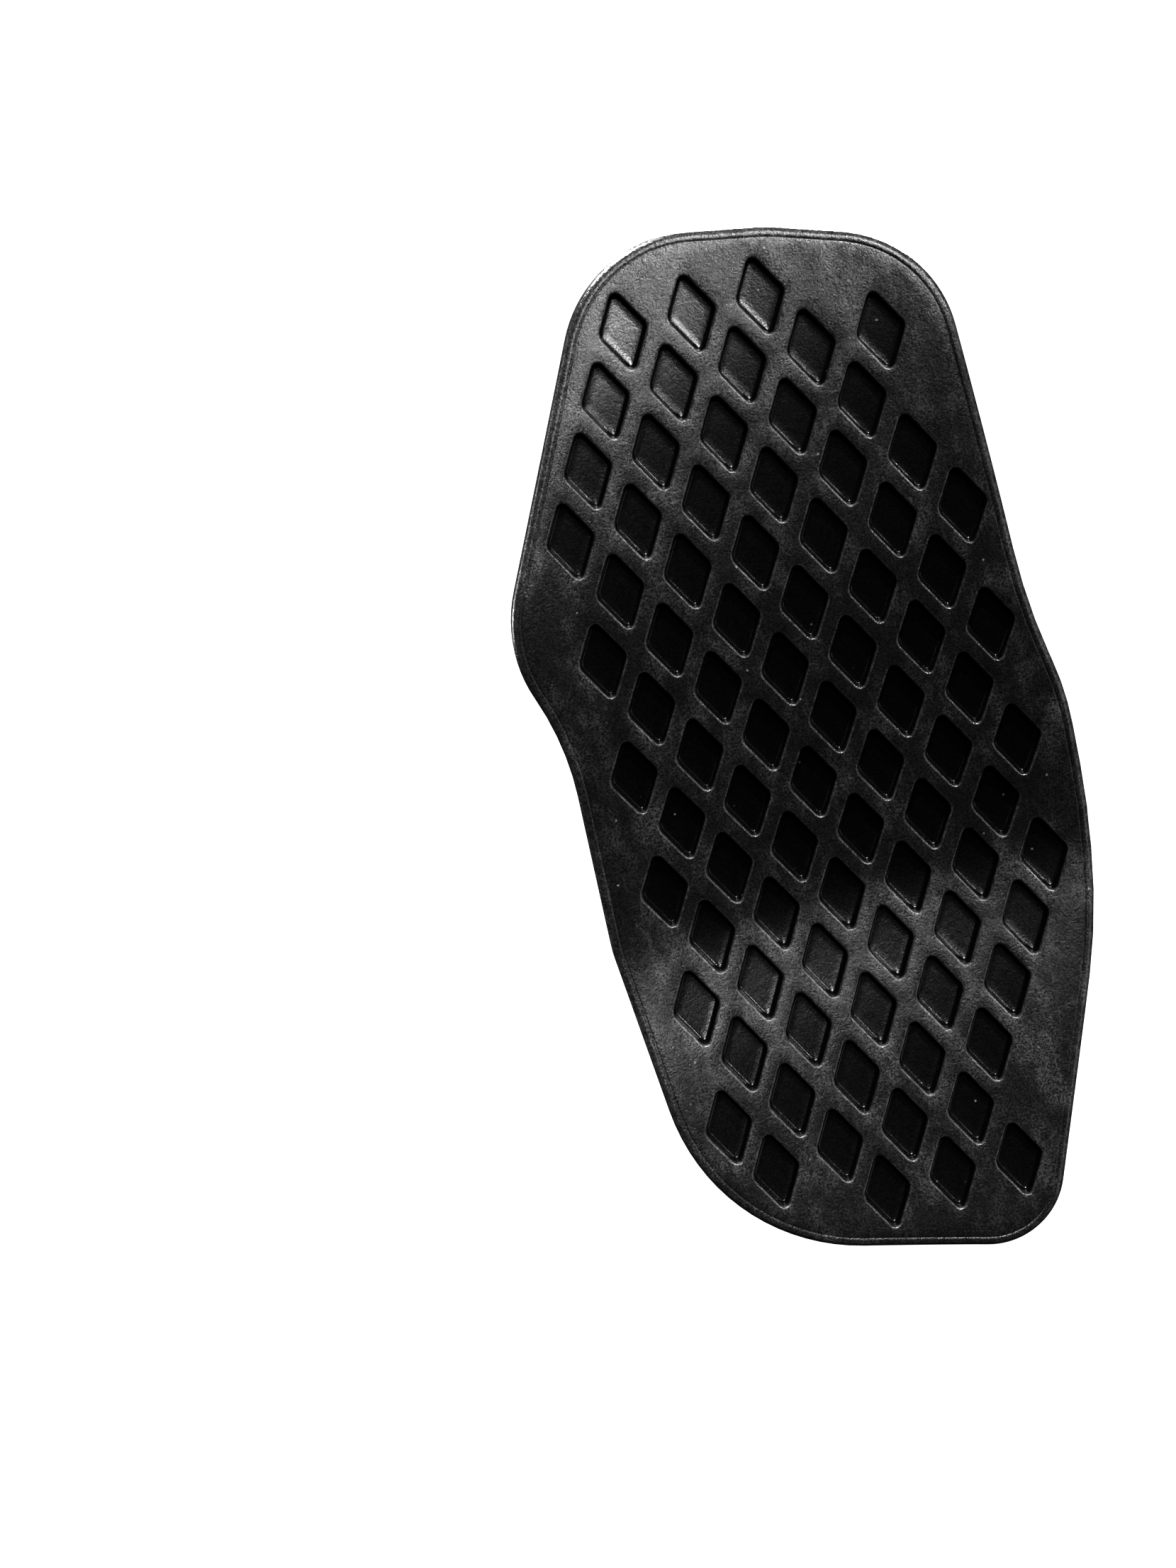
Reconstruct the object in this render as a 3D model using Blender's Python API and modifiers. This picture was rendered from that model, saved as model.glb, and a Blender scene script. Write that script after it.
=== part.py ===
"""Moulded shin guard for one leg: a contoured plate with a padded knob on its outer side.

The guard stands as it is worn: +Z runs along its length with the knob end up, the body side
faces +Y, the knob points to -Y. The origin lies on the body-side face, at the plate's centre.
"""

import math

import bmesh
import bpy
from mathutils import Vector

# ---------------------------------------------------------------- driving dimensions, metres

# Plate outline seen along Y: corner x, corner z, corner radius, going round once.
PLATE_CORNERS = (
    (0.0142, 0.0867, 0.0210),
    (-0.0130, 0.0817, 0.0267),
    (-0.0367, 0.0739, 0.0192),
    (-0.0377, 0.0156, 0.0954),
    (-0.0409, 0.0002, 0.0486),
    (-0.0404, -0.0293, 0.0964),
    (-0.0184, -0.0863, 0.0119),
    (0.0338, -0.0720, 0.0336),
    (0.0382, -0.0225, 0.0182),
    (0.0369, 0.0122, 0.0468),
    (0.0428, 0.0291, 0.0214),
)
LENGTH_SCALE = 1.0        # stretches the whole plate along its length
WIDTH_SCALE = 1.0         # stretches the whole plate across

# Body-side contour along the length: straight runs joined by soft bends.
END_2_SLOPE = -0.06       # slope of the run at the plain end
BENDS = (                 # height up the plate, softness, change of slope
    (-0.0467, 0.012, -0.17),
    (-0.0227, 0.006, 0.42),
    (0.0293, 0.016, -0.24),
    (0.0613, 0.014, -0.17),
)
CROSS_HOLLOW = 1.8        # hollow across the plate, 1/m
TWIST = 0.8               # rise of one pair of opposite corners, 1/m

PAD_THICKNESS = 0.0030
CORE_THICKNESS = 0.0008
SHELL_THICKNESS = 0.0018
FIT_GAP = 0.00032         # between pieces that lie on each other
EDGE_ROUND = 0.0013       # rounding of the plate's two edges
CORE_INSET = 0.0065       # from the plate's edge to the stiffener's edge

# Diamond pockets of the body side: staggered rows, numbered from the knob end down.
POCKET_WIDTH = 0.0079
POCKET_HEIGHT = 0.0136
POCKET_CORNER = 0.0012    # cut off each pointed corner
POCKET_DEPTH = 0.0021
POCKET_DRAFT = 0.0003     # how much narrower the floor is, each side
ROW_PITCH = 0.00947
COLUMN_STEP = 0.005425    # half the pitch across, the stagger of the rows
FIRST_ROW_Z = 0.0718
FIRST_COLUMN_X = 0.0123
ROW_SHIFT = 0.00009       # sideways drift of each row
ROW_SAG = 0.2             # rows droop at their ends, more with each row, 1/m
POCKET_ROWS = (           # first half-step and number of pockets in each row
    (0, 3), (-1, 5), (-2, 5), (-3, 6), (-2, 6), (-3, 6), (-2, 6), (-3, 6),
    (-2, 6), (-3, 6), (-2, 6), (-3, 6), (-2, 5), (-3, 5), (-2, 4), (1, 3),
)

# Knob on the outer side. Circles are x, z (from the knob's centre) and radius.
KNOB_X = -0.0165
KNOB_Z = 0.0453
KNOB_STANDOFF = 0.0130    # plate to the underside of the head
HEAD_THICKNESS = 0.0110
HEAD_CIRCLES = ((0.0, 0.0110, 0.0170), (0.0, -0.0110, 0.0170), (0.0240, 0.0, 0.0075))
NECK_CIRCLES = ((-0.0020, 0.0080, 0.0090), (-0.0020, -0.0080, 0.0090), (0.0150, 0.0, 0.0060))
NECK_FLARE = 0.0080
POST_CIRCLES = ((0.0030, 0.0050, 0.0060), (0.0030, -0.0050, 0.0060))

BADGE_REACH = 0.0110      # half the distance between the badge's end centres
BADGE_RADIUS = 0.0110
BADGE_THICKNESS = 0.0020
BADGE_PROUD = 0.0006
GROOVE_WIDTH = 0.0024
GROOVE_DEPTH = 0.0013
INSERT_THICKNESS = 0.0030
MARK_COUNT = 5
MARK_WIDTH = 0.0030
MARK_HEIGHT = 0.0052
MARK_PITCH = 0.0058
MARK_DEPTH = 0.0006

SCREW_SPACING = 0.0100
SCREW_SHANK_RADIUS = 0.0016
SCREW_HEAD_RADIUS = 0.0029
SCREW_HEAD_HEIGHT = 0.0014
SCREW_LENGTH = 0.0110

# ---------------------------------------------------------------- derived levels

PAD_BACK = -PAD_THICKNESS
CORE_FRONT = PAD_BACK - FIT_GAP
CORE_BACK = CORE_FRONT - CORE_THICKNESS
RECESS_FLOOR = CORE_BACK - FIT_GAP
PLATE_BACK = RECESS_FLOOR - SHELL_THICKNESS


# ---------------------------------------------------------------- contour and outlines

def bend(z, start, softness):
    """Nothing below start, a 1:1 rise above it, with a soft corner between."""
    reach = z - start
    return (math.sqrt(reach * reach + softness * softness) + reach) / 2


def raw_relief(x, z):
    z = z / LENGTH_SCALE
    x = x / WIDTH_SCALE
    height = END_2_SLOPE * z
    for start, softness, change in BENDS:
        height += change * bend(z, start, softness)
    height += CROSS_HOLLOW * (x - 0.0015) ** 2
    height -= TWIST * (x - 0.0015) * (z - 0.0033)
    return height


FACE_ZERO = raw_relief(0.0, 0.0)


def relief(x, z):
    """Height of the body-side face over the plane y = 0."""
    return raw_relief(x, z) - FACE_ZERO


def rounded_outline(corners, inset, step=math.radians(12)):
    """Closed polygon with rounded corners, moved inwards by inset. Returns (x, z) points."""
    points = []
    count = len(corners)
    for index in range(count):
        before, here, after = (
            Vector((corners[i][0] * WIDTH_SCALE, corners[i][1] * LENGTH_SCALE))
            for i in ((index - 1) % count, index, (index + 1) % count)
        )
        to_before = (before - here).normalized()
        to_after = (after - here).normalized()
        half_angle = to_before.angle(to_after) / 2
        radius = corners[index][2]
        turn = math.pi - 2 * half_angle
        inwards = (to_before + to_after).normalized()
        centre = here + inwards * (radius / math.sin(half_angle))
        start = here + to_before * (radius / math.tan(half_angle))
        # A corner that bends the other way has its centre outside the plate.
        crossing = to_before.x * to_after.y - to_before.y * to_after.x
        side = 1 if crossing > 0 else -1
        steps = max(1, round(turn / step))
        arm = start - centre
        for k in range(steps + 1):
            angle = side * turn * k / steps * -1
            spoke = Vector((
                arm.x * math.cos(angle) - arm.y * math.sin(angle),
                arm.x * math.sin(angle) + arm.y * math.cos(angle),
            ))
            spoke *= 1 - inset / radius * (1 if turning_sign(corners) == side else -1)
            points.append((centre.x + spoke.x, centre.y + spoke.y))
    return points


def turning_sign(corners):
    """Side to which the outline turns at a corner that bulges outwards."""
    area = 0.0
    for (x0, z0, _), (x1, z1, _) in zip(corners, corners[1:] + corners[:1]):
        area += x0 * z1 - x1 * z0
    return -1 if area > 0 else 1


def hull_outline(circles, inset=0.0, centre=(KNOB_X, KNOB_Z), steps=36):
    """The band stretched round a set of circles, moved inwards by inset."""
    points = []
    for k in range(steps):
        angle = 2 * math.pi * (k + 0.5) / steps
        nx, nz = math.cos(angle), math.sin(angle)
        x, z, radius = max(circles, key=lambda c: c[0] * nx + c[1] * nz + c[2])
        reach = max(radius - inset, 0.0002)
        points.append((centre[0] + x + nx * reach, centre[1] + z + nz * reach))
    return points


def diamond(x, z, width, height, corner, shrink=0.0):
    """Rhombus with its long diagonal along Z and its four corners cut off."""
    side = math.hypot(width, height) / 2
    cut = corner / side
    grow = 1 - 2 * shrink / width
    tips = ((width / 2, 0), (0, height / 2), (-width / 2, 0), (0, -height / 2))
    points = []
    for index, (tx, tz) in enumerate(tips):
        for nx, nz in (tips[index - 1], tips[(index + 1) % 4]):
            px = tx + (nx - tx) * cut
            pz = tz + (nz - tz) * cut
            points.append((x + px * grow, z + pz * grow))
    return points


# ---------------------------------------------------------------- building blocks

def new_collection(name):
    collection = bpy.data.collections.new(name)
    bpy.context.scene.collection.children.link(collection)
    return collection


def add_object(name, bm, collection, material=None):
    bmesh.ops.recalc_face_normals(bm, faces=bm.faces)
    mesh = bpy.data.meshes.new(name)
    bm.to_mesh(mesh)
    bm.free()
    obj = bpy.data.objects.new(name, mesh)
    collection.objects.link(obj)
    if material:
        mesh.materials.append(material)
    else:
        obj.hide_render = True
        obj.display_type = "WIRE"
    return obj


def add_loft(bm, rings):
    """Skin a stack of rings, each a list of points, and close both ends."""
    levels = [[bm.verts.new(point) for point in ring] for ring in rings]
    count = len(levels[0])
    for lower, upper in zip(levels, levels[1:]):
        for k in range(count):
            after = (k + 1) % count
            bm.faces.new((lower[k], lower[after], upper[after], upper[k]))
    bm.faces.new(levels[0])
    bm.faces.new(levels[-1])


def flat_ring(outline, y):
    return [(x, y, z) for x, z in outline]


def contour_ring(outline, level):
    return [(x, relief(x, z) + level, z) for x, z in outline]


def contour_slab(name, front, back, collection, material=None, rows=36, columns=8):
    """A sheet larger than the plate that follows the contour, from level front to back."""
    bm = bmesh.new()
    bmesh.ops.create_grid(bm, x_segments=columns, y_segments=rows, size=1.0)
    for vert in bm.verts:
        x = vert.co.x * 0.050 * WIDTH_SCALE
        z = vert.co.y * 0.096 * LENGTH_SCALE
        vert.co = Vector((x, relief(x, z) + front, z))
    sheet = bmesh.ops.extrude_face_region(bm, geom=bm.faces[:])
    for item in sheet["geom"]:
        if isinstance(item, bmesh.types.BMVert):
            item.co.y += back - front
    return add_object(name, bm, collection, material)


def boolean(obj, cutter, operation):
    modifier = obj.modifiers.new(cutter.name, "BOOLEAN")
    modifier.operation = operation
    modifier.solver = "EXACT"
    modifier.object = cutter


def smooth(obj, angle=35):
    obj.data.shade_smooth()
    obj.data.set_sharp_from_angle(angle=math.radians(angle))


def make_material(name, colour, roughness, metallic=0.0):
    material = bpy.data.materials.new(name)
    material.use_nodes = True
    shader = material.node_tree.nodes["Principled BSDF"]
    shader.inputs["Base Color"].default_value = (*colour, 1.0)
    shader.inputs["Roughness"].default_value = roughness
    shader.inputs["Metallic"].default_value = metallic
    return material


# ---------------------------------------------------------------- scene

for existing in list(bpy.data.objects):
    bpy.data.objects.remove(existing, do_unlink=True)

guard = new_collection("shin_guard")
cutters = new_collection("shin_guard_cutters")

pad_rubber = make_material("pad_rubber", (0.022, 0.022, 0.023), 0.62)
shell_rubber = make_material("shell_rubber", (0.014, 0.014, 0.016), 0.70)
badge_rubber = make_material("badge_rubber", (0.030, 0.030, 0.031), 0.66)
core_plastic = make_material("core_plastic", (0.08, 0.08, 0.085), 0.45)
screw_steel = make_material("screw_steel", (0.45, 0.45, 0.47), 0.32, 1.0)

# ---------------------------------------------------------------- plate tools

# Rim tool: the plate's outline with rounded edges on the body side and the outer side.
rim_rings = [flat_ring(rounded_outline(PLATE_CORNERS, EDGE_ROUND), 0.040)]
for part in range(3):
    angle = math.pi / 2 * part / 2
    inset = EDGE_ROUND * (1 - math.sin(angle))
    level = -EDGE_ROUND * (1 - math.cos(angle))
    rim_rings.append(contour_ring(rounded_outline(PLATE_CORNERS, inset), level))
for part in (2, 1, 0):
    angle = math.pi / 2 * part / 2
    inset = EDGE_ROUND * (1 - math.sin(angle))
    level = PLATE_BACK + EDGE_ROUND * (1 - math.cos(angle))
    rim_rings.append(contour_ring(rounded_outline(PLATE_CORNERS, inset), level))
rim_rings.append(flat_ring(rounded_outline(PLATE_CORNERS, EDGE_ROUND), -0.040))
bm = bmesh.new()
add_loft(bm, rim_rings)
rim_tool = add_object("rim_tool", bm, cutters)

# Straight-sided tools for the stiffener and for the recess that holds it.
bm = bmesh.new()
core_outline = rounded_outline(PLATE_CORNERS, CORE_INSET)
add_loft(bm, [flat_ring(core_outline, 0.040), flat_ring(core_outline, -0.040)])
core_tool = add_object("core_tool", bm, cutters)

bm = bmesh.new()
recess_outline = rounded_outline(PLATE_CORNERS, CORE_INSET - FIT_GAP)
add_loft(bm, [flat_ring(recess_outline, 0.040), flat_ring(recess_outline, -0.040)])
recess_tool = add_object("recess_tool", bm, cutters)

# All pockets as one cutter: each is a drafted diamond whose floor follows the contour.
bm = bmesh.new()
for row, (first, count) in enumerate(POCKET_ROWS):
    for number in range(count):
        step = first + 2 * number
        x = FIRST_COLUMN_X - COLUMN_STEP * step - ROW_SHIFT * row
        z = FIRST_ROW_Z - ROW_PITCH * row - ROW_SAG * row * (x + 0.0015) ** 2
        x, z = x * WIDTH_SCALE, z * LENGTH_SCALE
        floor = diamond(x, z, POCKET_WIDTH, POCKET_HEIGHT, POCKET_CORNER, POCKET_DRAFT)
        mouth = diamond(x, z, POCKET_WIDTH, POCKET_HEIGHT, POCKET_CORNER)
        above = diamond(x, z, POCKET_WIDTH, POCKET_HEIGHT, POCKET_CORNER, -POCKET_DRAFT)
        add_loft(bm, [
            contour_ring(floor, -POCKET_DEPTH),
            contour_ring(mouth, 0.0),
            contour_ring(above, POCKET_DEPTH),
        ])
pocket_tool = add_object("pocket_tool", bm, cutters)

# ---------------------------------------------------------------- plate

body_pad = contour_slab("body_pad", 0.0, PAD_BACK, guard, pad_rubber)
boolean(body_pad, rim_tool, "INTERSECT")
boolean(body_pad, pocket_tool, "DIFFERENCE")

core_plate = contour_slab("core_plate", CORE_FRONT, CORE_BACK, guard, core_plastic)
boolean(core_plate, core_tool, "INTERSECT")

stiffener_space = contour_slab("stiffener_space", 0.0, RECESS_FLOOR, cutters)
boolean(stiffener_space, recess_tool, "INTERSECT")

outer_shell = contour_slab("outer_shell", CORE_FRONT, PLATE_BACK, guard, shell_rubber)
boolean(outer_shell, rim_tool, "INTERSECT")
boolean(outer_shell, stiffener_space, "DIFFERENCE")

# ---------------------------------------------------------------- knob levels

KNOB_BASE = relief(KNOB_X, KNOB_Z) + PLATE_BACK
HEAD_UNDER = KNOB_BASE - KNOB_STANDOFF
HEAD_FACE = HEAD_UNDER - HEAD_THICKNESS
BADGE_FACE = HEAD_FACE - BADGE_PROUD
BADGE_BACK = BADGE_FACE + BADGE_THICKNESS
INSERT_FRONT = BADGE_BACK + FIT_GAP
INSERT_BACK = INSERT_FRONT + INSERT_THICKNESS
POST_TOP = INSERT_BACK + FIT_GAP
SCREW_X = KNOB_X + POST_CIRCLES[0][0]


def stadium(inset=0.0):
    ends = ((0.0, BADGE_REACH, BADGE_RADIUS), (0.0, -BADGE_REACH, BADGE_RADIUS))
    return hull_outline(ends, inset)


# Room for the post through the shell, the neck and the underside of the head.
bm = bmesh.new()
room = hull_outline(POST_CIRCLES, -FIT_GAP, steps=24)
add_loft(bm, [flat_ring(room, 0.030), flat_ring(room, HEAD_FACE + 0.0030)])
post_room = add_object("post_room", bm, cutters)
boolean(outer_shell, post_room, "DIFFERENCE")

# Everything on the body side of the stiffener's back, and of the shell's outer face.
behind_core = contour_slab("behind_core", 0.030, RECESS_FLOOR, cutters)
behind_shell = contour_slab("behind_shell", 0.030, PLATE_BACK - FIT_GAP, cutters)

# ---------------------------------------------------------------- post and neck

bm = bmesh.new()
post_outline = hull_outline(POST_CIRCLES, steps=24)
add_loft(bm, [flat_ring(post_outline, KNOB_BASE + 0.012), flat_ring(post_outline, POST_TOP)])
post_core = add_object("post_core", bm, guard, core_plastic)
boolean(post_core, behind_core, "DIFFERENCE")

# The neck's foot lies on the shell and follows its contour, its top is flat under the head.
NECK_TOP = KNOB_STANDOFF - FIT_GAP
NECK_PROFILE = (          # share of the neck's height, share of the flare
    (0.05, 1.00), (0.12, 0.70), (0.25, 0.38), (0.45, 0.14), (0.70, 0.0), (0.88, 0.02), (1.0, 0.12),
)
bm = bmesh.new()
foot = hull_outline(NECK_CIRCLES, -NECK_FLARE)
neck_rings = [flat_ring(foot, KNOB_BASE + 0.012)]
for share, flare in NECK_PROFILE:
    ring = []
    for x, z in hull_outline(NECK_CIRCLES, -NECK_FLARE * flare):
        follow = (relief(x, z) + PLATE_BACK - KNOB_BASE) * (1 - share)
        ring.append((x, KNOB_BASE - NECK_TOP * share + follow, z))
    neck_rings.append(ring)
add_loft(bm, neck_rings)
neck_sleeve = add_object("neck_sleeve", bm, guard, shell_rubber)
boolean(neck_sleeve, behind_shell, "DIFFERENCE")
boolean(neck_sleeve, post_room, "DIFFERENCE")

# ---------------------------------------------------------------- head

HEAD_PROFILE = (          # share of the head's thickness, inset from the widest outline
    (0.0, 0.0042), (0.0005 / 0.011, 0.0022), (0.2, 0.0006), (0.0048 / 0.011, 0.0),
    (0.0064 / 0.011, 0.0), (0.8, 0.0008), (0.0104 / 0.011, 0.0026), (1.0, 0.0056),
)
bm = bmesh.new()
add_loft(bm, [
    flat_ring(hull_outline(HEAD_CIRCLES, inset), HEAD_FACE + HEAD_THICKNESS * share)
    for share, inset in HEAD_PROFILE
])
head_body = add_object("head_body", bm, guard, shell_rubber)

# Groove round the badge and, inside it, the well that holds the insert and the badge.
bm = bmesh.new()
add_loft(bm, [
    flat_ring(stadium(-GROOVE_WIDTH - 0.0002), HEAD_FACE - 0.002),
    flat_ring(stadium(-GROOVE_WIDTH), HEAD_FACE + GROOVE_DEPTH),
    flat_ring(stadium(-FIT_GAP), HEAD_FACE + GROOVE_DEPTH),
    flat_ring(stadium(-FIT_GAP), INSERT_BACK + FIT_GAP),
])
head_well = add_object("head_well", bm, cutters)
boolean(head_body, head_well, "DIFFERENCE")
boolean(head_body, post_room, "DIFFERENCE")

bm = bmesh.new()
add_loft(bm, [flat_ring(stadium(), INSERT_FRONT), flat_ring(stadium(), INSERT_BACK)])
head_insert = add_object("head_insert", bm, guard, core_plastic)

bm = bmesh.new()
add_loft(bm, [
    flat_ring(stadium(0.0005), BADGE_FACE),
    flat_ring(stadium(), BADGE_FACE + 0.0005),
    flat_ring(stadium(), BADGE_BACK),
])
badge = add_object("badge", bm, guard, badge_rubber)

bm = bmesh.new()
for number in range(MARK_COUNT):
    z = KNOB_Z + MARK_PITCH * (number - (MARK_COUNT - 1) / 2)
    mark = diamond(KNOB_X, z, MARK_WIDTH, MARK_HEIGHT, 0.0004)
    add_loft(bm, [
        flat_ring(mark, BADGE_FACE - 0.002),
        flat_ring(mark, BADGE_FACE + MARK_DEPTH),
    ])
mark_tool = add_object("mark_tool", bm, cutters)
boolean(badge, mark_tool, "DIFFERENCE")

# ---------------------------------------------------------------- screws under the badge

SCREW_HEAD_FRONT = INSERT_FRONT + 0.0003
for number, side in enumerate((1, -1), start=1):
    z = KNOB_Z + side * SCREW_SPACING / 2

    # The holes: a counterbore and a shank hole, turned round the screw's axis.
    bm = bmesh.new()
    wide = hull_outline(((0.0, 0.0, SCREW_HEAD_RADIUS + FIT_GAP),), centre=(SCREW_X, z), steps=16)
    slim = hull_outline(((0.0, 0.0, SCREW_SHANK_RADIUS + FIT_GAP),), centre=(SCREW_X, z), steps=16)
    seat = SCREW_HEAD_FRONT + SCREW_HEAD_HEIGHT + FIT_GAP
    add_loft(bm, [
        flat_ring(wide, INSERT_FRONT - 0.002),
        flat_ring(wide, seat),
        flat_ring(slim, seat),
        flat_ring(slim, SCREW_HEAD_FRONT + SCREW_LENGTH + FIT_GAP),
    ])
    hole = add_object(f"screw_hole_{number}", bm, cutters)
    boolean(head_insert, hole, "DIFFERENCE")
    boolean(post_core, hole, "DIFFERENCE")

    # The screw: a turned profile, from the middle of its head down to its tip.
    profile = (
        (0.0, 0.0),
        (SCREW_HEAD_RADIUS, 0.0),
        (SCREW_HEAD_RADIUS, -SCREW_HEAD_HEIGHT),
        (SCREW_SHANK_RADIUS, -SCREW_HEAD_HEIGHT),
        (SCREW_SHANK_RADIUS, -SCREW_LENGTH),
        (0.0, -SCREW_LENGTH),
    )
    mesh = bpy.data.meshes.new(f"head_screw_{number}")
    mesh.from_pydata(
        [(radius, 0.0, height) for radius, height in profile],
        [(k, k + 1) for k in range(len(profile) - 1)],
        [],
    )
    mesh.materials.append(screw_steel)
    screw = bpy.data.objects.new(f"head_screw_{number}", mesh)
    guard.objects.link(screw)
    screw.location = (SCREW_X, SCREW_HEAD_FRONT, z)
    screw.rotation_euler = (math.radians(90), 0.0, 0.0)
    turn = screw.modifiers.new("turn", "SCREW")
    turn.axis = "Z"
    turn.angle = 2 * math.pi
    turn.steps = 16
    turn.render_steps = 16
    turn.use_merge_vertices = True
    turn.merge_threshold = 0.00001

for obj in (body_pad, core_plate, outer_shell, post_core, neck_sleeve, head_body, head_insert, badge):
    smooth(obj)
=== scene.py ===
"""Looks of the moulded shin guard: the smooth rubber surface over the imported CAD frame.

Everything is in metres in the CAD frame: +Z along the guard with the knob end up, +Y out of
the pocketed body side, -Y out of the knob.
"""

import math

import bmesh
import bpy
import numpy as np
from mathutils import Matrix, Vector
from mathutils.geometry import delaunay_2d_cdt


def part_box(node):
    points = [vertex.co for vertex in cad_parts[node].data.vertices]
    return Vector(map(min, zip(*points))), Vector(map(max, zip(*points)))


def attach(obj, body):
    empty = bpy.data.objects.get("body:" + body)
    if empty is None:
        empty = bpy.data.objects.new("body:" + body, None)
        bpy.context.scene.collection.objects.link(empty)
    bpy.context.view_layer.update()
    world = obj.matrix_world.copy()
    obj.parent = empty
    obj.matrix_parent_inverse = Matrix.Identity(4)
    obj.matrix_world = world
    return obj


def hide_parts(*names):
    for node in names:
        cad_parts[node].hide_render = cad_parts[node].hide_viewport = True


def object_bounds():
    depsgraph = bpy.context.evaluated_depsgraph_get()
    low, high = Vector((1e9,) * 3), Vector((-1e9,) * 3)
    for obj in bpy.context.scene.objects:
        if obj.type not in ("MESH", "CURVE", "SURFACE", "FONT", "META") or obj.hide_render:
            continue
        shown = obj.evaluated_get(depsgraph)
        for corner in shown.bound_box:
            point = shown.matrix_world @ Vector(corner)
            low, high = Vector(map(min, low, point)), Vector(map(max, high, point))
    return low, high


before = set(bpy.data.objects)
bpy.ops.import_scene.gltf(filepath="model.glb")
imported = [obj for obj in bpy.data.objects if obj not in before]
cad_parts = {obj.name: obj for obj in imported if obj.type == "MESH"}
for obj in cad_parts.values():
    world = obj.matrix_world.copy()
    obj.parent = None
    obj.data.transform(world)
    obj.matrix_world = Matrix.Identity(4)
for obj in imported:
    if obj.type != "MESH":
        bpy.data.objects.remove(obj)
CAD_BOX = [list(corner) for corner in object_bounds()]

# ---------------------------------------------------------------- the plate's design

# Plate outline seen along Y: corner x, corner z, corner radius, going round once.
PLATE_CORNERS = (
    (0.0142, 0.0867, 0.0210),
    (-0.0130, 0.0817, 0.0267),
    (-0.0367, 0.0739, 0.0192),
    (-0.0377, 0.0156, 0.0954),
    (-0.0409, 0.0002, 0.0486),
    (-0.0404, -0.0293, 0.0964),
    (-0.0184, -0.0863, 0.0119),
    (0.0338, -0.0720, 0.0336),
    (0.0382, -0.0225, 0.0182),
    (0.0369, 0.0122, 0.0468),
    (0.0428, 0.0291, 0.0214),
)
END_2_SLOPE = -0.06       # slope of the run at the plain end
# Bends along the plate: height up the plate, softness, change of slope.
BENDS = (
    (-0.0467, 0.012, -0.17),
    (-0.0227, 0.006, 0.42),
    (0.0293, 0.016, -0.24),
    (0.0613, 0.014, -0.17),
)
CROSS_HOLLOW = 1.8        # hollow across the plate, 1/m
TWIST = 0.8               # rise of one pair of opposite corners, 1/m
SPINE_X = 0.0015          # middle of the hollow and of the twist
SPINE_Z = 0.0033

PARTING = -0.0031         # level of the line between pad and shell
PLATE_BACK = -0.00624     # level of the outer face
RECESS_FLOOR = -0.00444   # level of the floor of the stiffener's recess
CORE_INSET = 0.0062       # edge of the recess inside the outline

POCKET_WIDTH = 0.0079
POCKET_HEIGHT = 0.0136
POCKET_CORNERS = (0.0018, 0.0010, 0.0015, 0.0009)   # right, top, left and bottom tip
POCKET_DEPTH = 0.0021
ROW_PITCH = 0.00947
COLUMN_STEP = 0.005425    # half the pitch across, the stagger of the rows
FIRST_ROW_Z = 0.0718
FIRST_COLUMN_X = 0.0123
ROW_SHIFT = 0.00009
ROW_SAG = 0.2             # rows droop at their ends, more with each row, 1/m
SAG_X = -0.0015           # middle of a row, where it is highest
# First half-step and number of pockets in each row, from the knob end down.
POCKET_ROWS = (
    (0, 3), (-1, 5), (-2, 5), (-3, 6), (-2, 6), (-3, 6), (-2, 6), (-3, 6),
    (-2, 6), (-3, 6), (-2, 6), (-3, 6), (-2, 5), (-3, 5), (-2, 4), (1, 3),
)

# ---------------------------------------------------------------- the knob's design

KNOB = (-0.0165, 0.0453)
KNOB_STANDOFF = 0.0130    # from the plate's outer face to the head's underside
# Circles are x, z (from the knob's centre) and radius.
HEAD_CIRCLES = ((0.0, 0.0110, 0.0170), (0.0, -0.0110, 0.0170), (0.0240, 0.0, 0.0075))
NECK_CIRCLES = ((-0.0020, 0.0080, 0.0090), (-0.0020, -0.0080, 0.0090), (0.0150, 0.0, 0.0060))
POST_CIRCLES = ((0.0030, 0.0050, 0.0063), (0.0030, -0.0050, 0.0063))
BADGE_CIRCLES = ((0.0, 0.0110, 0.0110), (0.0, -0.0110, 0.0110))
NECK_FLARE = 0.0086       # how far the neck's foot spreads

HEAD_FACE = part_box("head_body")[0].y
HEAD_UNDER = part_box("head_body")[1].y
BADGE_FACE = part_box("badge")[0].y
BADGE_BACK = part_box("badge")[1].y
WELL_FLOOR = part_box("head_insert")[1].y + 0.0003      # clearance under the insert
KNOB_BASE = HEAD_UNDER + KNOB_STANDOFF


# ---------------------------------------------------------------- contour and outlines

def bend(z, start, softness):
    reach = z - start
    return (math.sqrt(reach * reach + softness * softness) + reach) / 2


def raw_relief(x, z):
    height = END_2_SLOPE * z
    for start, softness, change in BENDS:
        height += change * bend(z, start, softness)
    height += CROSS_HOLLOW * (x - SPINE_X) ** 2
    height -= TWIST * (x - SPINE_X) * (z - SPINE_Z)
    return height


FACE_ZERO = raw_relief(0.0, 0.0)


def relief(x, z):
    """Y of the pad's face over the plate, 0 at the origin."""
    return raw_relief(x, z) - FACE_ZERO


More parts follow.
